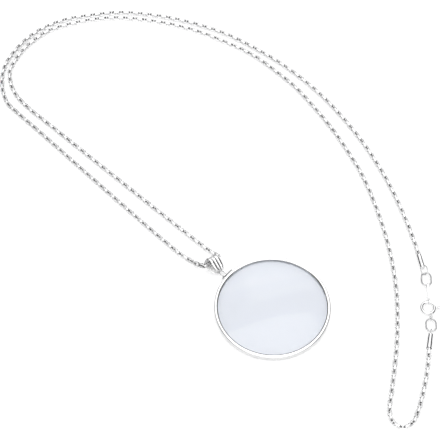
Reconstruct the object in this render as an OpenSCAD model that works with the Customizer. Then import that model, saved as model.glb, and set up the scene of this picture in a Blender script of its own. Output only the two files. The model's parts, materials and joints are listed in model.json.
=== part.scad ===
// Magnifier pendant on a long chain, laid out on a flat surface. Millimetres, +Z up.

/* [Glass] */
// Diameter of the glass
glass_d = 43.2; // [42:0.1:43.4]
// Thickness of the glass at its edge
glass_edge = 2; // [1.6:0.1:2]
// Height of the dome above the edge
glass_dome = 2.4; // [1.8:0.1:3]

/* [Frame] */
// Outer diameter of the rim
rim_d = 45; // [44.6:0.1:46]
// Height of the rim
rim_h = 3.4; // [3.3:0.1:4]
// Width of the front lip over the glass, seen from above
lip_w = 1.4; // [1.2:0.05:1.5]
// Thickness of the flange behind the glass
flange_h = 0.5; // [0.4:0.05:0.6]
// Direction of the hanger from the middle of the glass, degrees
hanger_turn = 138; // [130:1:146]
// Width of the hanger along the rim
hanger_w = 6.4; // [5.6:0.1:7]
// Wire of the hanger
hanger_wire = 0.7; // [0.6:0.05:0.8]

/* [Bail] */
// Length of the bail from its tip to its round end
bail_len = 7.7; // [7.4:0.1:8.4]
// Width at the round end
bail_w = 6.2; // [5.6:0.1:6.6]
// Width at the tip
bail_tip_w = 1; // [0.8:0.1:1.2]
// Number of ribs
bail_ribs = 3; // [2:1:4]

/* [Chain] */
// Thickness of the chain
chain_d = 2; // [1.8:0.1:2.1]

/* [Clasp line] */
// Outer diameter of the spring ring
clasp_d = 6.2; // [6:0.1:6.6]
// Thickness of the spring ring's tube
clasp_tube = 1.2; // [1.1:0.05:1.3]
// How far the thumb nub turns back when the mouth opens, degrees
bolt_travel = 52; // [40:1:54]
// Length of each end cap's tube
cap_len = 6; // [5:0.1:7]
// Outer diameter of each end cap's tube
cap_d = 2.3; // [2.3:0.1:2.6]

/* [Hidden] */
$fn = 64;

silver = [0.86, 0.87, 0.88];
glass_tint = [0.82, 0.86, 0.93];

// Middle of the pendant and of the clasp on the surface
pendant = [24.2, -49.8, 0];
clasp = [84.4, -49.2, 1.05];

// Frame
rim_r = rim_d / 2;
lip_in = rim_r - lip_w;
glass_r = glass_d / 2;
gap = 0.1;
groove_r = glass_r + gap;
glass_z = flange_h + gap;
lip_z = glass_z + glass_edge + gap + 0.1;
flange_in = lip_in - 0.4;
corner = 0.3;
glass_ball_r = (glass_r * glass_r + glass_dome * glass_dome) / (2 * glass_dome);

// Hanger: a wire staple soldered to the rim, half way up it
hanger_z = rim_h / 2 - 0.2;
hanger_slot = 0.7;
hanger_reach = rim_r + hanger_slot + hanger_wire / 2;
hanger_bend = 0.7;
hanger_sink = 0.3;

// Small ring between the hanger and the bail
link_r = 1.66;
link_wire_r = 0.18;
link_at = [24.48, 1.3, 1.82];
link_roll = 39;
link_pitch = 8;

// Bail: a strip bent round a small arc at the tip and a large arc at the far end
bail_at = [4.3, -33.8, 2.06];
bail_turn = 131;
bail_lean = 33;
bail_pitch = 17;
strip_t = 0.36;
rib_t = 0.5;
bail_big_r = 1.7;
bail_tip_r = 0.9;
strip_taper = 6;
steps = 6;
bail_run = bail_len - bail_big_r - bail_tip_r - strip_t - rib_t;

// End caps: a tube closed at one end, with a wire eye let into that end
cap_bore_r = cap_d / 2 - 0.12;
cap_end = 1.6;
cap_a_at = [82.4, -25.4, cap_d / 2];
cap_a_turn = -79;
cap_b_at = [83.5, -67, cap_d / 2];
cap_b_turn = 80;
eye_a_long = 4.3;
eye_a_wide = 3.3;
eye_a_wire = 0.5;
eye_a_roll = 40;
eye_a_sink = 0.9;
eye_a_off = [0.35, 0.05];
eye_b_d = 2.6;
eye_b_wire = 0.5;

// Jump rings, bent to ovals
ring_a_at = [84.6, -36.4, 1.2];
ring_a_long = 6.3;
ring_a_wide = 4.35;
ring_b_at = [85, -56.9, 1.18];
ring_b_long = 6;
ring_b_wide = 4.5;
ring_wire = 0.6;

// Tag: a bare plate on edge, with an eye at each end
tag_at = [84.85, -39.4, 1.2];
tag_run = 7.3;
tag_t = 0.5;
tag_eye_d = 2.4;
tag_h = 2;
tag_hole_a = 1.3;
tag_hole_b = 1.7;

// Spring ring: angles turn anticlockwise from +X
clasp_r = (clasp_d - clasp_tube) / 2;
hollow_r = clasp_tube / 2 - 0.18;
mouth_from = 15;
mouth_to = 70;
bolt_r = hollow_r - 0.08;
bolt_from = -10;
bolt_to = 76;
slot_h = 0.5;
stem_d = 0.36;
slot_spare = 6;
nub_d = 1.1;
nub_r = 4.1;
clasp_eye_turn = -80;
clasp_eye_d = 3.2;
clasp_eye_wire = 0.5;
clasp_eye_r = 4.53;

// Routes of the two strands, from the bail to the end caps
outer_route = [
    [0.85, -29.95, 3.65], [-0.1, -31.15, 4.6], [-1, -32.4, 5.3], [-2.2, -33, 5.4], [-3.4, -32.2, 4.5],
    [-4.5, -30.9, 3], [-5.9, -29.4, 1.7], [-7.5, -27.9, 1.1], [-12.5, -24, 1], [-72.5, 36.5, 1],
    [-80, 44, 1], [-85, 49.5, 1],
    [-87.5, 55.5, 1], [-88.5, 63, 1], [-87.5, 70.5, 1], [-84, 78, 1], [-79, 85, 1], [-72, 91, 1],
    [-63, 95.5, 1], [-52, 98, 1], [-40, 99.5, 1], [-28, 98.5, 1], [-16, 96, 1], [-4, 92, 1],
    [8, 86.5, 1], [19.5, 79, 1], [30, 71, 1], [40, 61.5, 1], [49, 51, 1], [57, 39.5, 1],
    [64, 27.5, 1], [70, 15, 1], [75, 2, 1], [79, -11, 1], [81.5, -21, 1.1], [82.3, -25, 1.2],
    [82.8, -27.4, 1.2]];
inner_route = [
    [0.97, -29.8, 3.52], [2.5, -27.85, 2], [3.2, -26.9, 1.35], [3.2, -25.9, 1.1], [2.4, -25.1, 1],
    [1.2, -24.2, 1], [-3, -20.8, 1], [-68, 39.5, 1], [-76, 47, 1], [-81.5, 53.5, 1],
    [-84.5, 60, 1], [-85.4, 67, 1], [-83.6, 72.6, 1], [-80.6, 78.3, 1], [-76, 84, 1], [-69.5, 89.5, 1],
    [-61, 93, 1], [-51.5, 95.5, 1], [-41.5, 96.5, 1], [-30, 95.5, 1], [-18, 93, 1], [-6, 89, 1],
    [6, 83, 1], [17.5, 76, 1], [27, 67.5, 1], [36, 58, 1], [43.5, 47.5, 1], [50.5, 36.5, 1],
    [57, 24, 1], [62.5, 11.5, 1], [69.5, -14.5, 1], [72.5, -39, 1], [71.5, -63.5, 1], [68, -86.5, 1],
    [67, -92.5, 1], [67.5, -96.5, 1], [69.5, -99, 1], [72.5, -99.5, 1], [75.5, -97.5, 1], [77.5, -93.5, 1],
    [81.5, -79.5, 1], [83, -71, 1.1], [83.4, -67.4, 1.2], [83.8, -65, 1.2]];

function unit(v) = v / norm(v);
function tube_ring(path, i, r) =
    let (last = len(path) - 1,
         along = unit(path[min(i + 1, last)] - path[max(i - 1, 0)]),
         side = unit(cross(along, [0, 0, 1])),
         up = cross(side, along))
    [for (k = [0:7]) path[i] + r * (cos(45 * k + 22.5) * side + sin(45 * k + 22.5) * up)];

// An eight sided tube along a route, whose last ring is narrow enough to enter an end cap
module tube(path) {
    n = len(path);
    wide = chain_d / 2 / cos(22.5);
    narrow = cap_bore_r - gap;
    points = [for (i = [0:n - 1]) each tube_ring(path, i, i < n - 2 ? wide : narrow)];
    sides = [for (i = [0:n - 2], k = [0:7]) let (a = i * 8 + k, b = i * 8 + (k + 1) % 8)
        [a, b, b + 8, a + 8]];
    start = [for (k = [7:-1:0]) k];
    end = [for (k = [0:7]) (n - 1) * 8 + k];
    polyhedron(points = points, faces = concat(sides, [start], [end]));
}

module chain_outer() { color(silver) tube(outer_route); }
module chain_inner() { color(silver) tube(inner_route); }

module lens() {
    color(glass_tint) translate(pendant + [0, 0, glass_z])
        rotate_extrude($fn = 128) polygon(concat(
            [[0, 0], [glass_r - 0.2, 0], [glass_r, 0.2], [glass_r, glass_edge]],
            [for (k = [1:12]) let (r = glass_r * (1 - k / 12))
                [r, glass_edge + sqrt(glass_ball_r * glass_ball_r - r * r) - glass_ball_r + glass_dome]]));
}

// Round wire: a straight run along X and a bend about Z
module wire_run(d, length) { rotate([0, 90, 0]) cylinder(d = d, h = length, $fn = 24); }
module wire_bend(d, r, angle) {
    rotate_extrude(angle = angle, $fn = 48) translate([r, 0]) circle(d = d, $fn = 24);
}

// An oval ring of round wire lying flat, long along X, centred on the origin
module oval_ring(long, wide, d) {
    r = (wide - d) / 2;
    run = long - wide;
    for (turn = [0, 180]) rotate([0, 0, turn]) {
        translate([run / 2, 0, 0]) rotate([0, 0, -90]) wire_bend(d, r, 180);
        translate([-run / 2, r, 0]) wire_run(d, run);
    }
}

module hanger() {
    half = (hanger_w - hanger_wire) / 2;
    bend_at = hanger_reach - hanger_bend;
    for (side = [0, 1]) translate([0, 0, hanger_z]) mirror([0, side, 0]) {
        translate([rim_r - hanger_sink, half, 0]) wire_run(hanger_wire, bend_at - rim_r + hanger_sink);
        translate([bend_at, half - hanger_bend, 0]) wire_bend(hanger_wire, hanger_bend, 90);
    }
    translate([hanger_reach, hanger_bend - half, hanger_z]) rotate([0, 0, 90])
        wire_run(hanger_wire, 2 * (half - hanger_bend));

}

module frame() {
    color(silver) translate(pendant) {
        rotate_extrude($fn = 128) polygon([
            [flange_in, 0], [rim_r - corner, 0], [rim_r, corner], [rim_r, rim_h - corner],
            [rim_r - corner, rim_h], [lip_in + corner, rim_h], [lip_in, rim_h - corner],
            [lip_in, lip_z], [groove_r, lip_z], [groove_r, flange_h], [flange_in, flange_h]]);
        rotate([0, 0, hanger_turn]) hanger();
    }
}

module bail_ring() {
    color(silver) translate(pendant) rotate([0, 0, hanger_turn]) translate(link_at)
        rotate([link_roll, -link_pitch, 0]) rotate_extrude($fn = 48) translate([link_r, 0])
            circle(r = link_wire_r, $fn = 24);
}

// Middle line of the bail's strip: s runs away from the tip and h across the loop
function bail_swing() = asin((bail_big_r - bail_tip_r) / bail_run);
function bail_stations() = concat(
    [for (k = [0:12]) let (a = 90 + bail_swing() + k * (180 - 2 * bail_swing()) / 12)
        [bail_tip_r * cos(a) + bail_tip_r, bail_tip_r * sin(a), a]],
    [for (k = [1:5]) let (a = 270 - bail_swing(), t = k / 6)
        [(1 - t) * (bail_tip_r * cos(a) + bail_tip_r) + t * (bail_big_r * cos(a) + bail_tip_r + bail_run),
         (1 - t) * bail_tip_r * sin(a) + t * bail_big_r * sin(a), a]],
    [for (k = [0:16]) let (a = 270 - bail_swing() + k * (180 + 2 * bail_swing()) / 16)
        [bail_big_r * cos(a) + bail_tip_r + bail_run, bail_big_r * sin(a), a]],
    [for (k = [1:5]) let (a = 90 + bail_swing(), t = k / 6)
        [(1 - t) * (bail_big_r * cos(a) + bail_tip_r + bail_run) + t * (bail_tip_r * cos(a) + bail_tip_r),
         (1 - t) * bail_big_r * sin(a) + t * bail_tip_r * sin(a), a]]);

// Width of the strip at a distance from the tip
function strip_w(s) = let (far = max(0, 1 - s / (bail_run + bail_tip_r + bail_big_r)))
    bail_w - (bail_w - bail_tip_w) * pow(far, strip_taper);

// Cross-section of the strip: ribs outside, a flat face inside
function strip_outline(w) = let (n = bail_ribs * steps, edge = w / 2)
    concat(
        [for (j = [0:n]) let (u = j / n, rise = (w - bail_tip_w) / (bail_w - bail_tip_w))
            [edge * (2 * u - 1), strip_t / 2 + rib_t * rise * sqrt(abs(sin(180 * bail_ribs * u)))]],
        [[edge, -strip_t / 2], [-edge, -strip_t / 2]]);

module bail() {
    stations = bail_stations();
    count = len(stations);
    size = bail_ribs * steps + 3;
    points = [for (p = stations, q = strip_outline(strip_w(p[0])))
        [p[0] + q[1] * cos(p[2]), q[0], p[1] + q[1] * sin(p[2])]];
    faces = [for (i = [0:count - 1], k = [0:size - 1]) let (j = (i + 1) % count, m = (k + 1) % size)
        [i * size + k, j * size + k, j * size + m, i * size + m]];
    color(silver) translate(bail_at) rotate([bail_lean, -bail_pitch, bail_turn])
        polyhedron(points = points, faces = faces);
}

// Lies along X from the chain's end; the chain enters its bore
module cap_tube() {
    difference() {
        wire_tube(cap_d, cap_len);
        translate([-cap_end, 0, 0]) wire_tube(2 * cap_bore_r, cap_len);
    }
}
module wire_tube(d, length) { rotate([0, 90, 0]) cylinder(d = d, h = length, $fn = 48); }

module end_cap_a() {
    color(silver) translate(cap_a_at) rotate([0, 0, cap_a_turn]) {
        cap_tube();
        translate([cap_len + eye_a_long / 2 - eye_a_sink, eye_a_off[0], eye_a_off[1]])
            rotate([eye_a_roll, 0, 0]) oval_ring(eye_a_long, eye_a_wide, eye_a_wire);

    }
}

module end_cap_b() {
    color(silver) translate(cap_b_at) rotate([0, 0, cap_b_turn]) {
        cap_tube();
        translate([cap_len + eye_b_d / 2 - 0.1, 0, eye_b_d / 2 - cap_d / 2]) rotate([90, 0, 0])
            wire_bend(eye_b_wire, (eye_b_d - eye_b_wire) / 2, 360);
    }
}

module jump_ring_a() {
    color(silver) translate(ring_a_at) rotate([0, 0, 90]) oval_ring(ring_a_long, ring_a_wide, ring_wire);
}
module jump_ring_b() {
    color(silver) translate(ring_b_at) rotate([0, 0, 90]) oval_ring(ring_b_long, ring_b_wide, ring_wire);
}

module tag() {
    color(silver) translate(tag_at) rotate([0, 90, 0]) difference() {
        union() {
            cylinder(d = tag_eye_d, h = tag_t, center = true);
            translate([0, -tag_run, 0]) cylinder(d = tag_eye_d, h = tag_t, center = true);
            translate([0, -tag_run / 2, 0]) cube([tag_h, tag_run, tag_t], center = true);
        }
        cylinder(d = tag_hole_a, h = 2 * tag_t, center = true);
        translate([0, -tag_run, 0]) cylinder(d = tag_hole_b, h = 2 * tag_t, center = true);
    }
}

// A wedge of a ring about Z, from one angle to another
module sector(from, to, r_in, r_out, h) {
    rotate([0, 0, from]) rotate_extrude(angle = to - from) translate([r_in, -h / 2])
        square([r_out - r_in, h]);
}

module clasp_body() {
    color(silver) translate(clasp) {
        difference() {
            rotate_extrude() translate([clasp_r, 0]) circle(d = clasp_tube, $fn = 32);
            rotate_extrude() translate([clasp_r, 0]) circle(r = hollow_r, $fn = 32);
            sector(mouth_from, mouth_to, clasp_r - clasp_tube, clasp_r + clasp_tube, 2 * clasp_tube);
            sector(-bolt_travel - slot_spare, slot_spare, clasp_r, clasp_r + clasp_tube, slot_h);
        }
        rotate([0, 0, clasp_eye_turn]) translate([clasp_eye_r, 0, clasp_eye_d / 2 - clasp[2]])
            rotate([90, 0, 0]) wire_bend(
clasp_eye_wire, (clasp_eye_d - clasp_eye_wire) / 2, 360);
    }
}

module clasp_bolt() {
    color(silver) translate(clasp) {
        rotate([0, 0, bolt_from]) wire_bend(2 * bolt_r, clasp_r, bolt_to - bolt_from);
        translate([clasp_r, 0, 0]) wire_run(stem_d, nub_r - clasp_r);
        translate([nub_r, 0, 0]) sphere(d = nub_d, $fn = 32);
    }
}

lens();
frame();
bail_ring();
bail();
chain_outer();
chain_inner();
end_cap_a();
end_cap_b();
jump_ring_a();
tag();
clasp_body();
clasp_bolt();
jump_ring_b();
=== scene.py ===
import json
import math
import bmesh
import bpy
from mathutils import Matrix, Vector


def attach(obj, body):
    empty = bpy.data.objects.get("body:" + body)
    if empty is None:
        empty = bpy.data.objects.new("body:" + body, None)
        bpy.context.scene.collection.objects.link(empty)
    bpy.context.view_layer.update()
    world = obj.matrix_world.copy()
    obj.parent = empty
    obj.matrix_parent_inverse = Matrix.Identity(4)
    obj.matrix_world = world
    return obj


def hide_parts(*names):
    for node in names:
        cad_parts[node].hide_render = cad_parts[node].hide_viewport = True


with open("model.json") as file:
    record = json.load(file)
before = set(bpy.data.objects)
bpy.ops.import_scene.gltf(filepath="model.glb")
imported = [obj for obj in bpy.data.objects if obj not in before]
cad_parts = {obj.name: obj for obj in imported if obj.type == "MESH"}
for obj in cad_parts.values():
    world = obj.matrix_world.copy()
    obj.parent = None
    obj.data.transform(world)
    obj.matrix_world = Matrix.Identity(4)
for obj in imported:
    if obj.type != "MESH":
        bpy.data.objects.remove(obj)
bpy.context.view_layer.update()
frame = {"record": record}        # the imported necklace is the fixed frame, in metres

mm = 0.001
up = Vector((0, 0, 1))
bodyOf = {node: body for body, nodes in frame["record"]["behaviour"]["bodies"].items() for node in nodes}
scene = bpy.context.scene


# Camera and stage: two numbers after a direction are a soft edge, from dark at the first to full at the second
view = {"place": (4, -357.5, 538), "pitch": 57, "lens": 130.909, "sensor": 36}
stage = {"floorSize": 3, "floorTone": 0.7, "floorGlow": 0.43, "floorDrop": 0.00002, "light": 1.25,
         "dim": 0.05, "ceiling": (0.5, 0.72), "back": (0.5, 0.8), "backLight": 0.12, "front": (0.55, 0.85),
         "gaps": [((-0.78, 0, 0.62), 0.935, 0.975), ((0.9, 0.12, 0.42), 0.84, 0.92)],
         "panelLight": 0.8,
         "panels": [[((0.29, -0.89, 0.36), -0.01, 0.01),
                     ((-0.84, -0.28, 0.47), -0.03, 0.03),
                     ((0, 0, 1), 0.8, 0.86)],
                    [((-0.41, 0.77, -0.5), -0.03, 0.03),
                     ((0.95, 0.29, -0.06), -0.05, 0.05),
                     ((0, 0, 1), 0.5, 0.6)]]}


def addCamera():
    camera = bpy.data.cameras.new("photoCamera")
    camera.lens = view["lens"]
    camera.sensor_width = view["sensor"]
    camera.clip_start = 0.01
    holder = bpy.data.objects.new("photoCamera", camera)
    holder.location = Vector(view["place"]) * mm
    holder.rotation_euler = (math.radians(90 - view["pitch"]), 0, 0)
    scene.collection.objects.link(holder)
    scene.camera = holder
    scene.view_settings.view_transform = "Standard"


def addFloor():
    # A square card of one tone, which glows a little so that shadows stay pale
    half, tone = stage["floorSize"] / 2, stage["floorTone"]
    mesh = bpy.data.meshes.new("floor")
    corners = [(-half, -half, 0), (half, -half, 0), (half, half, 0), (-half, half, 0)]
    mesh.from_pydata(corners, [], [(0, 1, 2, 3)])
    card = bpy.data.objects.new("floor", mesh)
    card.location = (0, 0, -stage["floorDrop"])
    scene.collection.objects.link(card)
    material = bpy.data.materials.new("floor")
    material.use_nodes = True
    shader = material.node_tree.nodes["Principled BSDF"]
    shader.inputs["Base Color"].default_value = (tone, tone, tone, 1)
    shader.inputs["Roughness"].default_value = 1
    shader.inputs["Specular IOR Level"].default_value = 0
    shader.inputs["Emission Color"].default_value = (1, 1, 1, 1)
    shader.inputs["Emission Strength"].default_value = stage["floorGlow"]
    mesh.materials.append(material)


def spread(nodes, links, value, low, high, fromLow=0.3, fromHigh=0.7):
    # Carries a noise value into a range
    remap = nodes.new("ShaderNodeMapRange")
    remap.inputs["From Min"].default_value = fromLow
    remap.inputs["From Max"].default_value = fromHigh
    remap.inputs["To Min"].default_value = low
    remap.inputs["To Max"].default_value = high
    links.new(value, remap.inputs["Value"])
    return remap.outputs["Result"]


def addSky():
    # A bright tent: open and dark low down at both sides, with a dark gap on the left and on the right
    world = bpy.data.worlds.new("softTent")
    scene.world = world
    world.use_nodes = True
    nodes, links = world.node_tree.nodes, world.node_tree.links
    place = nodes.new("ShaderNodeTexCoord").outputs["Generated"]

    def towards(direction, low, high):
        dot = nodes.new("ShaderNodeVectorMath")
        dot.operation = "DOT_PRODUCT"
        dot.inputs[1].default_value = direction
        links.new(place, dot.inputs[0])
        return spread(nodes, links, dot.outputs["Value"], 0, 1, low, high)

    def combine(operation, first, second):
        step = nodes.new("ShaderNodeMath")
        step.operation = operation
        for i, value in enumerate((first, second)):
            if isinstance(value, (int, float)):
                step.inputs[i].default_value = value
            else:
                links.new(value, step.inputs[i])
        return step.outputs[0]

    ceiling = towards((0, 0, 1), *stage["ceiling"])
    back = combine("MULTIPLY", towards((0, 1, 0), *stage["back"]), stage["backLight"])
    front = towards((0, -1, 0), *stage["front"])
    walls = combine("MAXIMUM", combine("MAXIMUM", ceiling, back), front)
    cloth = 1
    for gap in stage["gaps"]:
        cloth = combine("MULTIPLY", cloth, combine("SUBTRACT", 1, towards(*gap)))
    light = combine("MULTIPLY", combine("MULTIPLY", walls, cloth), stage["light"])
    light = combine("ADD", light, stage["dim"])
    for panel in stage["panels"]:
        glow = stage["panelLight"]
        for direction, low, high in panel:
            glow = combine("MULTIPLY", towards(direction, low, high), glow)
        light = combine("ADD", light, combine("MULTIPLY", glow, cloth))
    nodes["Background"].inputs["Color"].default_value = (1, 1, 1, 1)
    links.new(light, nodes["Background"].inputs["Strength"])


addCamera()
addSky()
addFloor()
print("stage ready")


# Materials: how fine each noise is, how it is stretched, and how deep scratches and ripples go in metres
plateLook = {"haze": 420, "patches": (0.45, 0.75), "smear": 1500, "hairline": 2600, "stretch": (1, 0.08, 1),
             "depth": 0.00001}
glassLook = {"cast": (0.86, 0.885, 0.935), "index": 1.52, "haze": 0.004, "hazeScale": 90, "ripple": 0.01,
             "rippleScale": 60, "depth": 0.00002}


def newMaterial(name):
    material = bpy.data.materials.new(name)
    material.use_nodes = True
    nodes, links = material.node_tree.nodes, material.node_tree.links
    place = nodes.new("ShaderNodeTexCoord")
    return material, nodes, links, nodes["Principled BSDF"], place.outputs["Object"]


def addNoise(nodes, links, place, scale, detail=4, stretch=(1, 1, 1)):
    mapping = nodes.new("ShaderNodeMapping")
    mapping.inputs["Scale"].default_value = stretch
    noise = nodes.new("ShaderNodeTexNoise")
    noise.inputs["Scale"].default_value = scale
    noise.inputs["Detail"].default_value = detail
    links.new(place, mapping.inputs["Vector"])
    links.new(mapping.outputs["Vector"], noise.inputs["Vector"])
    return noise.outputs["Fac"]


def silverPlate(name, bright, dull, gloss, scratch):
    # Polished plate: handling haze, hairline scratches and a slightly duller tone in patches
    material, nodes, links, shader, place = newMaterial(name)
    shader.inputs["Metallic"].default_value = 1
    haze = addNoise(nodes, links, place, plateLook["haze"])
    tone = nodes.new("ShaderNodeMix")
    tone.data_type = "RGBA"
    tone.inputs["A"].default_value = (*bright, 1)
    tone.inputs["B"].default_value = (*dull, 1)
    links.new(spread(nodes, links, haze, 0, 1, *plateLook["patches"]), tone.inputs["Factor"])
    links.new(tone.outputs["Result"], shader.inputs["Base Color"])
    smear = addNoise(nodes, links, place, plateLook["smear"], 6)
    links.new(spread(nodes, links, smear, *gloss), shader.inputs["Roughness"])
    hairline = addNoise(nodes, links, place, plateLook["hairline"], 3, plateLook["stretch"])
    bump = nodes.new("ShaderNodeBump")
    bump.inputs["Strength"].default_value = scratch
    bump.inputs["Distance"].default_value = plateLook["depth"]
    links.new(hairline, bump.inputs["Height"])
    links.new(bump.outputs["Normal"], shader.inputs["Normal"])
    return material


def clearGlass(name):
    # Polished glass with a faint blue cast, finger haze and a slight ripple
    look = glassLook
    material, nodes, links, shader, place = newMaterial(name)
    shader.inputs["Base Color"].default_value = (*look["cast"], 1)
    shader.inputs["Transmission Weight"].default_value = 1
    shader.inputs["IOR"].default_value = look["index"]
    haze = addNoise(nodes, links, place, look["hazeScale"], 3)
    links.new(spread(nodes, links, haze, 0, look["haze"]), shader.inputs["Roughness"])
    ripple = addNoise(nodes, links, place, look["rippleScale"], 1)
    bump = nodes.new("ShaderNodeBump")
    bump.inputs["Strength"].default_value = look["ripple"]
    bump.inputs["Distance"].default_value = look["depth"]
    links.new(ripple, bump.inputs["Height"])
    links.new(bump.outputs["Normal"], shader.inputs["Normal"])
    return material


rimSilver = silverPlate("rimSilver", (0.95, 0.95, 0.955), (0.86, 0.86, 0.87), (0.05, 0.14), 0.05)
bailSilver = silverPlate("bailSilver", (0.95, 0.95, 0.955), (0.86, 0.86, 0.87), (0.24, 0.38), 0.08)
seatSilver = silverPlate("seatSilver", (0.97, 0.97, 0.97), (0.93, 0.93, 0.93), (0.7, 0.8), 0.02)
# Satin finish for the rim's outer wall: rougher, and its darker tone is painted shade for the shaded floor the
# wall reflects
satinShadeSilver = silverPlate("satinShadeSilver", (0.72, 0.72, 0.72), (0.64, 0.64, 0.65), (0.2, 0.32), 0.1)
# Dark finish for the hanger's slot: painted shade of the narrow gap between rim and hanger wire
paintedSlotShade = silverPlate("paintedSlotShade", (0.3, 0.3, 0.3), (0.2, 0.2, 0.2), (0.3, 0.45), 0.05)
ringSilver = silverPlate("ringSilver", (0.55, 0.55, 0.555), (0.42, 0.42, 0.43), (0.1, 0.2), 0.06)
wireSilver = silverPlate("wireSilver", (0.8, 0.8, 0.805), (0.66, 0.66, 0.67), (0.08, 0.2), 0.08)
chainSilver = silverPlate("chainSilver", (0.92, 0.92, 0.925), (0.83, 0.83, 0.84), (0.25, 0.4), 0.05)
# Dark link-tip finish: painted shade where the links pass through each other
paintedTipShade = silverPlate("paintedTipShade", (0.26, 0.26, 0.26), (0.18, 0.18, 0.18), (0.35, 0.5), 0.05)
lensGlass = clearGlass("lensGlass")
print("materials ready")


# Mesh helpers: all shapes are worked out in millimetres and stored in metres
def addSkin(name, mesh):
    # An object whose faces all look outwards
    points, faces = mesh
    data = bpy.data.meshes.new(name)
    data.from_pydata([Vector(p) * mm for p in points], [], faces)
    data.validate()
    facing = bmesh.new()
    facing.from_mesh(data)
    bmesh.ops.recalc_face_normals(facing, faces=facing.faces)
    facing.to_mesh(data)
    facing.free()
    skin = bpy.data.objects.new(name, data)
    scene.collection.objects.link(skin)
    return skin


def addPiece(name, mesh, material, slotName, *nodes):
    piece = addSkin(name, mesh)
    piece.data.materials.append(material)
    piece.data.shade_smooth()
    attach(piece, bodyOf[nodes[0]])
    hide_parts(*nodes)
    return piece


def gridFaces(rows, columns, closeRows, closeColumns):
    faces = []
    for i in range(rows if closeRows else rows - 1):
        for k in range(columns if closeColumns else columns - 1):
            a, b = i * columns, (i + 1) % rows * columns
            c = (k + 1) % columns
            faces.append((a + k, b + k, b + c, a + c))
    return faces


def merge(*meshes):
    points, faces = [], []
    for somePoints, someFaces in meshes:
        faces += [tuple(i + len(points) for i in face) for face in someFaces]
        points += somePoints
    return points, faces


def placed(mesh, matrix):
    return [matrix @ Vector(p) for p in mesh[0]], mesh[1]


def turned(x, y, z):
    # Turns about X, then Y, then Z, in degrees
    turns = [Matrix.Rotation(math.radians(angle), 4, axis) for angle, axis in zip((x, y, z), "XYZ")]
    return turns[2] @ turns[1] @ turns[0]


def moved(x, y, z):
    return Matrix.Translation((x, y, z))


def arc(radius, first, last, count, centre=(0, 0)):
    angles = [math.radians(first + (last - first) * k / count) for k in range(count + 1)]
    return [(centre[0] + radius * math.cos(a), centre[1] + radius * math.sin(a)) for a in angles]


def roundedOutline(corners, radius, steps=4):
    # A closed outline whose corners are rounded, each by a radius no larger than its sides allow
    outline = []
    for i, corner in enumerate(corners):
        corner = Vector(corner)
        before = Vector(corners[i - 1]) - corner
        after = Vector(corners[(i + 1) % len(corners)]) - corner
        reach = min(radius, before.length * 0.45, after.length * 0.45)
        first, last = corner + before.normalized() * reach, corner + after.normalized() * reach
        for k in range(steps + 1):
            t = k / steps
            outline.append((1 - t) ** 2 * first + 2 * t * (1 - t) * corner + t * t * last)
    return outline


def revolved(outline, sides):
    # A closed outline in X and Z turned about Z
    points = []
    for k in range(sides):
        a = 2 * math.pi * k / sides
        points += [Vector((p[0] * math.cos(a), p[0] * math.sin(a), p[1])) for p in outline]
    return points, gridFaces(sides, len(outline), True, True)


def wire(path, diameter, sides=16, closed=False):
    # Round wire along a path, with flat ends if it is open
    path = [Vector(p) for p in path]
    count = len(path)
    points = []
    side = None
    for i in range(count):
        if closed:
            along = (path[(i + 1) % count] - path[i - 1]).normalized()
        else:
            along = (path[min(i + 1, count - 1)] - path[max(i - 1, 0)]).normalized()
        if side is None:
            side = along.cross(up if abs(along.z) < 0.9 else Vector((1, 0, 0)))
        side = (side - side.dot(along) * along).normalized()
        across = along.cross(side)
        for k in range(sides):
            a = 2 * math.pi * k / sides
            points.append(path[i] + diameter / 2 * (math.cos(a) * side + math.sin(a) * across))
    faces = gridFaces(count, sides, closed, True)
    if not closed:
        faces += [tuple(range(sides)), tuple(reversed(range((count - 1) * sides, count * sides)))]
    return points, faces


def ovalPath(long, wide, diameter, steps=16, gapAt=None, gap=0):
    # Middle line of an oval ring lying flat, long along X; with a gap it is open there
    r, run = (wide - diameter) / 2, (long - wide) / 2
    right = arc(r, -90, 90, steps, (run, 0))
    left = arc(r, 90, 270, steps, (-run, 0))
    flat = right + left
    if gapAt is None:
        return [Vector((x, y, 0)) for x, y in flat]
    start = round(gapAt * len(flat))
    order = flat[start:] + flat[:start]
    line = [Vector((x, y, 0)) for x, y in order]
    towards = (line[0] - line[-1]).normalized()
    return line[:-1] + [line[-1] + towards * ((line[0] - line[-1]).length - gap)]


def fuse(piece, others, operation):
    # Joins or cuts with each other mesh in turn, and keeps the result as the piece's own mesh
    for other in others:
        tool = addSkin("tool", other)
        step = piece.modifiers.new("fuse", "BOOLEAN")
        step.operation = operation
        step.solver = "EXACT"
        step.object = tool
        bpy.context.view_layer.update()
        graph = bpy.context.evaluated_depsgraph_get()
        data = bpy.data.meshes.new_from_object(piece.evaluated_get(graph))
        piece.modifiers.clear()
        piece.data = data
        bpy.data.objects.remove(tool)


def unite(piece, *others):
    fuse(piece, others, "UNION")          # soldered pieces become one skin


def carve(piece, *others):
    fuse(piece, others, "DIFFERENCE")


def crease(piece, angle=35):
    piece.data.set_sharp_from_angle(angle=math.radians(angle))


def paint(piece, material, chosen):
    # Gives the chosen faces another finish
    piece.data.materials.append(material)
    for face in piece.data.polygons:
        if chosen(face):
            face.material_index = len(piece.data.materials) - 1


# Pendant: rim, hanger and glass
pendant = {"centre": (24.2, -49.8, 0), "turn": 138}
rim = {"outer": 22.5, "lipIn": 21.1, "high": 3.4, "flangeIn": 21.1, "flange": 0.5, "groove": 21.7,
       "lipUnder": 2.8, "bevel": (0.38, 0.24), "bead": 0.5, "foot": 1.3, "wallTop": 3.2, "sides": 256}
hanger = {"wide": 6.4, "wire": 0.7, "slot": 0.7, "bend": 0.7, "sink": 0.3, "high": 1.5}
glass = {"radius": 21.6, "edge": 2, "dome": 2.4, "base": 0.6, "bevel": 0.2, "sides": 192, "rings": 40,
         "backRings": 12}
atPendant = moved(*pendant["centre"])
atHanger = atPendant @ turned(0, 0, pendant["turn"])


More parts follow.
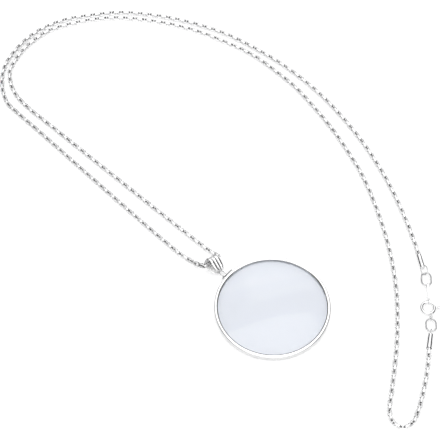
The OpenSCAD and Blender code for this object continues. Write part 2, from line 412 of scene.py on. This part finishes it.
def rimOutline():
    # A band with a lip burnished down to the glass and a narrow seat under it
    outer, bead, foot, high = rim["outer"], rim["bead"], rim["foot"], rim["high"]
    across, drop = rim["bevel"]
    outline = [(rim["flangeIn"], 0)] + arc(foot, -90, 0, 6, (outer - foot, foot))
    outline += arc(bead, 0, 90, 14, (outer - bead, high - bead))
    outline += [(rim["lipIn"] + across + 0.08, high), (rim["lipIn"] + across, high - 0.02)]
    outline += [(rim["lipIn"] + 0.02, high - drop), (rim["lipIn"], high - drop - 0.03)]
    return outline + [(rim["lipIn"], rim["lipUnder"]), (rim["groove"], rim["lipUnder"]),
                      (rim["groove"], rim["flange"]), (rim["flangeIn"], rim["flange"])]


def makeRim():
    ring = placed(revolved(rimOutline(), rim["sides"]), atPendant)
    piece = addPiece("rim", ring, rimSilver, "frame", "frame")
    reach = rim["outer"] + hanger["slot"] + hanger["wire"] / 2
    half = (hanger["wide"] - hanger["wire"]) / 2
    inner = rim["outer"] - hanger["sink"]
    bend = hanger["bend"]
    line = [(inner, half)] + arc(bend, 90, 0, 10, (reach - bend, half - bend))
    line += arc(bend, 0, -90, 10, (reach - bend, bend - half)) + [(inner, -half)]
    staple = wire([(x, y, hanger["high"]) for x, y in line], hanger["wire"], 20)
    unite(piece, placed(staple, atHanger))
    fromHanger = atHanger.inverted()
    outward = atHanger.to_3x3() @ Vector((1, 0, 0))

    def underLip(face):
        middle = fromHanger @ (face.center / mm)
        seat = middle.xy.length < rim["groove"] + 0.02 and 0.1 < middle.z < rim["lipUnder"] + 0.02
        return seat or (middle.xy.length < rim["lipIn"] + 0.005 and middle.z > 1)

    # Faces of the hanger wire that look into the slot, which get painted shade
    def slotSide(face):
        middle = fromHanger @ (face.center / mm)
        return middle.x > rim["outer"] + 0.3 and face.normal.dot(outward) < -0.25

    def outerWall(face):
        middle = fromHanger @ (face.center / mm)
        wall = middle.xy.length > rim["outer"] - 0.3 and middle.z < rim["wallTop"]
        return wall and middle.x < rim["outer"] + 0.1

    paint(piece, seatSilver, underLip)
    # The slot's inner faces are painted dark as painted shade
    paint(piece, paintedSlotShade, slotSide)
    # The outer wall is rougher, and darker by painted shade
    paint(piece, satinShadeSilver, outerWall)
    crease(piece)


def makeGlass():
    # A flat back, a low edge and a dome that is part of a ball
    radius, base, bevel = glass["radius"], glass["base"], glass["bevel"]
    ball = (radius ** 2 + glass["dome"] ** 2) / (2 * glass["dome"])
    peak = base + glass["edge"] + glass["dome"]
    outline = [(radius * k / glass["backRings"], base) for k in range(1, glass["backRings"])]
    outline += [(radius - bevel, base), (radius, base + bevel), (radius, base + glass["edge"])]
    for k in range(1, glass["rings"]):
        r = radius * (1 - k / glass["rings"])
        outline.append((r, peak - ball + math.sqrt(ball * ball - r * r)))
    sides, count = glass["sides"], len(outline)
    points = revolved(outline, sides)[0]
    faces = gridFaces(sides, count, True, False)
    bottom, top = len(points), len(points) + 1
    points += [Vector((0, 0, base)), Vector((0, 0, peak))]
    for k in range(sides):
        n = (k + 1) % sides
        faces.append((k * count, n * count, bottom))
        faces.append((n * count + count - 1, k * count + count - 1, top))
    piece = addPiece("glass", placed((points, faces), atPendant), lensGlass, "glass", "lens")
    crease(piece, 30)


makeRim()
makeGlass()
print("pendant ready")


# Small ring between the hanger and the bail
loop = {"radius": 1.66, "wire": 0.36, "at": (24.48, 1.3, 1.82), "roll": 39, "pitch": -8}


def makeBailRing():
    path = [Vector((x, y, 0)) for x, y in arc(loop["radius"], 0, 360, 64)[:-1]]
    ring = wire(path, loop["wire"], 16, True)
    matrix = atHanger @ moved(*loop["at"]) @ turned(loop["roll"], loop["pitch"], 0)
    addPiece("bailRing", placed(ring, matrix), ringSilver, "findings", "bail_ring")


# Bail: a ribbed strip bent round a small arc at its tip and a large one at its far end
bail = {"at": (4.3, -33.8, 2.06), "turn": 131, "lean": 33, "swing": 17, "long": 7.7, "wide": 6.2,
        "tipWide": 1, "ribs": 3, "strip": 0.36, "rib": 0.5, "bigR": 1.7, "tipR": 0.9, "taper": 6,
        "soft": 0.08, "columns": 14, "swell": 0.6, "tipSteps": 24, "sideSteps": 12, "bigSteps": 40}


def bailStations(run, swing):
    # The strip's middle line as X, Z and the way its outside faces: tip, one side, far end, other side
    def bend(radius, x, first, last, count):
        angles = [math.radians(first + k * (last - first) / count) for k in range(count + 1)]
        return [(radius * math.cos(a) + x, radius * math.sin(a), a) for a in angles]

    def side(near, far, count):
        alongX, alongZ = far[0] - near[0], far[1] - near[1]
        return [(near[0] + alongX * k / count, near[1] + alongZ * k / count, near[2]) for k in range(1, count)]

    tip = bend(bail["tipR"], bail["tipR"], 90 + swing, 270 - swing, bail["tipSteps"])
    big = bend(bail["bigR"], bail["tipR"] + run, 270 - swing, 450 + swing, bail["bigSteps"])
    return tip + side(tip[-1], big[0], bail["sideSteps"]) + big + side(big[-1], tip[0], bail["sideSteps"])


def stripOutline(wide):
    # Ribs outside, softened edges, flat inside
    steps = bail["ribs"] * bail["columns"]
    rise = (wide - bail["tipWide"]) / (bail["wide"] - bail["tipWide"])
    half, thin = wide / 2, bail["strip"] / 2
    top = []
    for j in range(steps + 1):
        u = j / steps
        swell = abs(math.sin(math.pi * bail["ribs"] * u)) ** bail["swell"]
        top.append((half * (2 * u - 1), thin + bail["rib"] * rise * swell))
    soft = min(bail["soft"], half / 4)
    top[0], top[-1] = (-half, thin - soft), (half, thin - soft)
    return top + [(half, soft - thin), (half - soft, -thin), (soft - half, -thin), (-half, soft - thin)]


def makeBail():
    # The strip keeps its full width at the far end and narrows towards its tip
    run = bail["long"] - bail["bigR"] - bail["tipR"] - bail["strip"] - bail["rib"]
    swing = math.degrees(math.asin((bail["bigR"] - bail["tipR"]) / run))
    rows = bailStations(run, swing)
    points = []
    for x, z, a in rows:
        far = max(0, 1 - x / (run + bail["tipR"] + bail["bigR"]))
        wide = bail["wide"] - (bail["wide"] - bail["tipWide"]) * far ** bail["taper"]
        outline = stripOutline(wide)
        points += [Vector((x + q * math.cos(a), p, z + q * math.sin(a))) for p, q in outline]
    shape = points, gridFaces(len(rows), len(outline), True, True)
    matrix = moved(*bail["at"]) @ turned(bail["lean"], -bail["swing"], bail["turn"])
    piece = addPiece("bailShell", placed(shape, matrix), bailSilver, "bail", "bail")
    paint(piece, seatSilver, lambda face: face.index % len(outline) > bail["ribs"] * bail["columns"])
    crease(piece, 50)


makeBailRing()
makeBail()
print("bail ready")


# Chain: rounded box links, every other one turned a quarter, along the two strands' routes
chain = {"pitch": 2.08, "long": 3.7, "wide": 2, "thick": 0.4, "strip": 0.72, "steps": 26, "square": 2.6,
         "capTaper": 0.84, "shadedTips": (3, 9), "tip": 0.4, "chord": 8}
outerRoute = [
    (0.85, -29.95, 3.65), (-0.1, -31.15, 4.6), (-1, -32.4, 5.3), (-2.2, -33, 5.4), (-3.4, -32.2, 4.5),
    (-4.5, -30.9, 3), (-5.9, -29.4, 1.7), (-7.5, -27.9, 1.1), (-12.5, -24, 1), (-72.5, 36.5, 1),
    (-80, 44, 1), (-85, 49.5, 1), (-87.5, 55.5, 1), (-88.5, 63, 1),
    (-87.5, 70.5, 1), (-84, 78, 1), (-79, 85, 1), (-72, 91, 1),
    (-63, 95.5, 1), (-52, 98, 1), (-40, 99.5, 1), (-28, 98.5, 1), (-16, 96, 1), (-4, 92, 1),
    (8, 86.5, 1), (19.5, 79, 1), (30, 71, 1), (40, 61.5, 1), (49, 51, 1), (57, 39.5, 1),
    (64, 27.5, 1), (70, 15, 1), (75, 2, 1), (79, -11, 1), (81.5, -21, 1.1), (82.3, -25, 1.2),
    (82.8, -27.4, 1.2)]
innerRoute = [
    (0.97, -29.8, 3.52), (2.5, -27.85, 2), (3.2, -26.9, 1.35), (3.2, -25.9, 1.1), (2.4, -25.1, 1),
    (1.2, -24.2, 1), (-3, -20.8, 1), (-68, 39.5, 1), (-76, 47, 1), (-81.5, 53.5, 1),
    (-84.5, 60, 1), (-85.4, 67, 1), (-83.6, 72.6, 1), (-80.6, 78.3, 1), (-76, 84, 1), (-69.5, 89.5, 1),
    (-61, 93, 1), (-51.5, 95.5, 1), (-41.5, 96.5, 1), (-30, 95.5, 1), (-18, 93, 1), (-6, 89, 1),
    (6, 83, 1), (17.5, 76, 1), (27, 67.5, 1), (36, 58, 1), (43.5, 47.5, 1), (50.5, 36.5, 1),
    (57, 24, 1), (62.5, 11.5, 1), (69.5, -14.5, 1), (72.5, -39, 1), (71.5, -63.5, 1), (68, -86.5, 1),
    (67, -92.5, 1), (67.5, -96.5, 1), (69.5, -99, 1), (72.5, -99.5, 1), (75.5, -97.5, 1), (77.5, -93.5, 1),
    (81.5, -79.5, 1), (83, -71, 1.1), (83.4, -67.4, 1.2), (83.8, -65, 1.2)]


def smoothLine(route, step=0.1):
    # A curve through every point of the route, whose speed follows the spacing of the points
    route = [Vector(p) for p in route]
    route = [2 * route[0] - route[1]] + route + [2 * route[-1] - route[-2]]
    line = []
    for i in range(1, len(route) - 2):
        a, b, c, d = route[i - 1:i + 3]
        knots = [0]
        for p, q in ((a, b), (b, c), (c, d)):
            knots.append(knots[-1] + math.sqrt((q - p).length))
        t0, t1, t2, t3 = knots
        count = max(2, round((c - b).length / step))
        for k in range(count):
            t = t1 + (t2 - t1) * k / count
            a1 = a * ((t1 - t) / (t1 - t0)) + b * ((t - t0) / (t1 - t0))
            a2 = b * ((t2 - t) / (t2 - t1)) + c * ((t - t1) / (t2 - t1))
            a3 = c * ((t3 - t) / (t3 - t2)) + d * ((t - t2) / (t3 - t2))
            b1 = a1 * ((t2 - t) / (t2 - t0)) + a2 * ((t - t0) / (t2 - t0))
            b2 = a2 * ((t3 - t) / (t3 - t1)) + a3 * ((t - t1) / (t3 - t1))
            line.append(b1 * ((t2 - t) / (t2 - t1)) + b2 * ((t - t1) / (t2 - t1)))
    line.append(route[-2])
    return line


def linkMesh():
    # One link lying flat, long along X: a domed strip bent to an oval, its outer faces at both tips marked for
    # painted shade
    a, b = (chain["long"] - chain["thick"]) / 2, (chain["wide"] - chain["thick"]) / 2
    count = chain["steps"]
    path = []
    for k in range(count):
        c, s = math.cos(2 * math.pi * k / count), math.sin(2 * math.pi * k / count)
        bulge = (abs(c) ** chain["square"] + abs(s) ** chain["square"]) ** (-1 / chain["square"])
        path.append(Vector((a * c * bulge, b * s * bulge, 0)))
    half = [(-0.22, 0.32), (-0.13, 0.43), (0, 0.5), (0.12, 0.46), (0.19, 0.38), (0.22, 0.31), (0.225, 0.23)]
    half = [(p, q * chain["strip"]) for p, q in half]
    outline = half + [(p, -q) for p, q in reversed(half)]
    points = []
    for i in range(count):
        along = (path[(i + 1) % count] - path[i - 1]).normalized()
        out = along.cross(up)
        points += [path[i] + out * p + up * q for p, q in outline]
    faces = gridFaces(count, len(outline), True, True)
    # The outer faces near both tips are the ones that get painted shade
    low, high = chain["shadedTips"]
    shadedTips = [low <= n % len(outline) <= high and abs(path[n // len(outline)].x) > a - chain["tip"]
              for n in range(len(faces))]
    return points, faces, shadedTips


def linkPlaces():
    # Each link's strand and the matrix that lays it along the route
    strandIn = smoothLine(innerRoute)
    strandOut = smoothLine(outerRoute)
    line = strandIn[::-1] + strandOut
    lengths = [0]
    for p, q in zip(line, line[1:]):
        lengths.append(lengths[-1] + (q - p).length)
    total, turn = lengths[-1], lengths[len(strandIn) - 1]
    count = round(total / chain["pitch"])
    pitch = total / count
    towardsView = Vector((0, -math.cos(math.radians(view["pitch"])), math.sin(math.radians(view["pitch"]))))
    print("chain", round(total), "mm", count, "links, pitch", round(pitch, 3))
    places = []
    at = 0
    for n in range(count):
        s = pitch * (n + 0.5)
        while lengths[at + 1] < s:
            at += 1
        t = (s - lengths[at]) / (lengths[at + 1] - lengths[at])
        centre = line[at].lerp(line[at + 1], t)
        ahead, behind = line[min(at + chain["chord"], len(line) - 1)], line[max(at - chain["chord"], 0)]
        along = (ahead - behind).normalized()
        face = (towardsView - towardsView.dot(along) * along).normalized()
        name = "chainInner" if s < turn else "chainOuter"
        side = face.cross(along)
        if n % 2:
            face, side = side, -face
        size = chain["capTaper"] if n in (0, count - 1) else 1
        basis = Matrix((along, side * size, face * size)).transposed().to_4x4()
        basis.translation = centre
        places.append((name, basis))
    return places


def makeChain():
    *oneLink, shadedTips = linkMesh()
    strands = {"chainInner": [], "chainOuter": []}
    for name, basis in linkPlaces():
        strands[name].append(placed(oneLink, basis))
    for name, node in (("chainInner", "chain_inner"), ("chainOuter", "chain_outer")):
        piece = addPiece(name, merge(*strands[name]), chainSilver, "chain", node)
        # Every link's tips get painted shade where the neighbouring links pass through them
        paint(piece, paintedTipShade, lambda face: shadedTips[face.index % len(shadedTips)])
        print(name, len(strands[name]), "links")


makeChain()


# End caps: a tube that holds the chain's end, with a wire eye let into its closed end
cap = {"wide": 2.3, "long": 6, "bore": 2.06, "end": 1.6, "round": 0.12, "sides": 64}
capA = {"at": (82.4, -25.4, 1.15), "turn": -79, "eyeLong": 4.3, "eyeWide": 3.3, "wire": 0.5, "roll": 40,
        "sink": 0.9, "off": (0.35, 0.05)}
capB = {"at": (83.5, -67, 1.15), "turn": 80, "eye": 2.6, "wire": 0.5, "sink": 0.1}


def capTube():
    long, inner = cap["long"], cap["long"] - cap["end"]
    outer, bore = cap["wide"] / 2, cap["bore"] / 2
    corners = [(outer, 0), (outer, long), (0.01, long), (0.01, inner), (bore, inner), (bore, 0)]
    return placed(revolved(roundedOutline(corners, cap["round"], 3), cap["sides"]), turned(0, 90, 0))


def makeEndCaps():
    matrix = moved(*capA["at"]) @ turned(0, 0, capA["turn"])
    out = cap["long"] + capA["eyeLong"] / 2 - capA["sink"]
    eyeAt = moved(out, *capA["off"]) @ turned(capA["roll"], 0, 0)
    eye = wire(ovalPath(capA["eyeLong"], capA["eyeWide"], capA["wire"], 24), capA["wire"], 16, True)
    piece = addPiece("endCapA", placed(capTube(), matrix), wireSilver, "findings", "end_cap_a")
    unite(piece, placed(eye, matrix @ eyeAt))
    crease(piece)
    matrix = moved(*capB["at"]) @ turned(0, 0, capB["turn"])
    eyeAt = moved(cap["long"] + capB["eye"] / 2 - capB["sink"], 0, (capB["eye"] - cap["wide"]) / 2)
    path = [Vector((x, 0, z)) for x, z in arc((capB["eye"] - capB["wire"]) / 2, 0, 360, 48)[:-1]]
    piece = addPiece("endCapB", placed(capTube(), matrix), wireSilver, "findings", "end_cap_b")
    unite(piece, placed(wire(path, capB["wire"], 16, True), matrix @ eyeAt))
    crease(piece)


# Jump rings: bent wire, cut through where they were closed
rings = {"wire": 0.6, "gap": 0.06}
ringA = {"at": (84.6, -36.4, 1.2), "long": 6.3, "wide": 4.35, "gapAt": 0.5}
ringB = {"at": (85, -56.9, 1.18), "long": 6, "wide": 4.5, "gapAt": 0.06}


def makeJumpRings():
    for name, node, ring in (("jumpRingA", "jump_ring_a", ringA), ("jumpRingB", "jump_ring_b", ringB)):
        path = ovalPath(ring["long"], ring["wide"], rings["wire"], 28, ring["gapAt"], rings["gap"])
        matrix = moved(*ring["at"]) @ turned(0, 0, 90)
        crease(addPiece(name, placed(wire(path, rings["wire"], 18), matrix), ringSilver, "findings", node))


# Tag: a bare plate on edge, with an eye at each end
tag = {"at": (84.85, -39.4, 1.2), "run": 7.3, "thick": 0.5, "eye": 2.4, "high": 2, "holes": (1.3, 1.7),
       "soft": 0.07}


def drum(radius, high, place, sides=48, soft=0):
    # A solid disc about Z with softened rims
    half = high / 2
    wall = [(radius - soft, -half), (radius, soft - half), (radius, half - soft), (radius - soft, half)]
    if not soft:
        wall = [(radius, -half), (radius, half)]
    points = []
    for k in range(sides):
        a = 2 * math.pi * k / sides
        points += [Vector(place) + Vector((r * math.cos(a), r * math.sin(a), z)) for r, z in wall]
    faces = gridFaces(sides, len(wall), True, False)
    faces += [tuple(reversed(range(0, sides * len(wall), len(wall))))]
    faces += [tuple(range(len(wall) - 1, sides * len(wall), len(wall)))]
    return points, faces


def block(size):
    x, y, z = (s / 2 for s in size)
    points = [Vector((i * x, j * y, k * z)) for i in (-1, 1) for j in (-1, 1) for k in (-1, 1)]
    return points, [(0, 1, 3, 2), (4, 6, 7, 5), (0, 4, 5, 1), (2, 3, 7, 6), (0, 2, 6, 4), (1, 5, 7, 3)]


def makeTag():
    matrix = moved(*tag["at"]) @ turned(0, 90, 0)
    ends = (0, 0, 0), (0, -tag["run"], 0)
    plate = drum(tag["eye"] / 2, tag["thick"], ends[0], 64, tag["soft"])
    piece = addPiece("tagPlate", placed(plate, matrix), wireSilver, "findings", "tag")
    bar = block((tag["high"], tag["run"], tag["thick"] - 0.01))
    unite(piece, placed(drum(tag["eye"] / 2, tag["thick"], ends[1], 64, tag["soft"]), matrix),
          placed(bar, matrix @ moved(0, -tag["run"] / 2, 0)))
    for hole, place in zip(tag["holes"], ends):
        carve(piece, placed(drum(hole / 2, 2 * tag["thick"], place, 40), matrix))
    crease(piece)


# Spring ring: a hollow hoop with a mouth, a thumb slot and a soldered eye, and the bolt inside it
clasp = {"at": (84.4, -49.2, 1.05), "radius": 2.5, "tube": 1.2, "hollow": 0.84, "mouth": (15, 70),
         "slot": (-58, 6), "slotHigh": 0.5, "eyeTurn": -80, "eye": 3.2, "eyeWire": 0.5, "eyeAt": 4.53}
bolt = {"wire": 0.68, "from": -10, "to": 76, "stem": 0.36, "nub": 1.1, "nubHigh": 1, "nubRound": 0.3,
        "nubAt": 4.1}


def sector(first, last, inner, outer, high):
    # A wedge of a flat ring about Z
    steps = 24
    points = []
    for k in range(steps + 1):
        a = math.radians(first + (last - first) * k / steps)
        for r, z in ((inner, -high / 2), (outer, -high / 2), (outer, high / 2), (inner, high / 2)):
            points.append(Vector((r * math.cos(a), r * math.sin(a), z)))
    faces = gridFaces(steps + 1, 4, False, True)
    return points, faces + [(3, 2, 1, 0)[::-1], tuple(range(steps * 4, steps * 4 + 4))[::-1]]


def hoop(diameter, first=0, last=360, steps=128, sides=32):
    whole = last - first == 360
    path = [Vector((x, y, 0)) for x, y in arc(clasp["radius"], first, last, steps)]
    return wire(path[:-1] if whole else path, diameter, sides, whole)


def makeClasp():
    matrix = moved(*clasp["at"])
    piece = addPiece("claspBody", placed(hoop(clasp["tube"]), matrix), wireSilver, "findings", "clasp_body")
    radius, tube = clasp["radius"], clasp["tube"]
    eyePath = [Vector((x, 0, z)) for x, z in arc((clasp["eye"] - clasp["eyeWire"]) / 2, 0, 360, 56)[:-1]]
    eyeAt = turned(0, 0, clasp["eyeTurn"]) @ moved(clasp["eyeAt"], 0, clasp["eye"] / 2 - clasp["at"][2])
    unite(piece, placed(wire(eyePath, clasp["eyeWire"], 16, True), matrix @ eyeAt))
    carve(piece, placed(hoop(clasp["hollow"]), matrix),
          placed(sector(*clasp["mouth"], radius - tube, radius + tube, 2 * tube), matrix),
          placed(sector(*clasp["slot"], radius, radius + tube, clasp["slotHigh"]), matrix))
    crease(piece)
    curve = placed(hoop(bolt["wire"], bolt["from"], bolt["to"], 40, 24), matrix)
    piece = addPiece("claspBolt", curve, wireSilver, "findings", "clasp_bolt")
    stem = wire([(radius, 0, 0), (bolt["nubAt"], 0, 0)], bolt["stem"], 16)
    wide, high = bolt["nub"] / 2, bolt["nubHigh"] / 2
    nub = roundedOutline([(0.01, -high), (wide, -high), (wide, high), (0.01, high)], bolt["nubRound"], 6)
    nubAt = matrix @ moved(bolt["nubAt"], 0, 0) @ turned(0, 90, 0)
    unite(piece, placed(stem, matrix), placed(revolved(nub, 40), nubAt))
    crease(piece)


makeEndCaps()
makeJumpRings()
makeTag()
makeClasp()
print("clasp line ready")
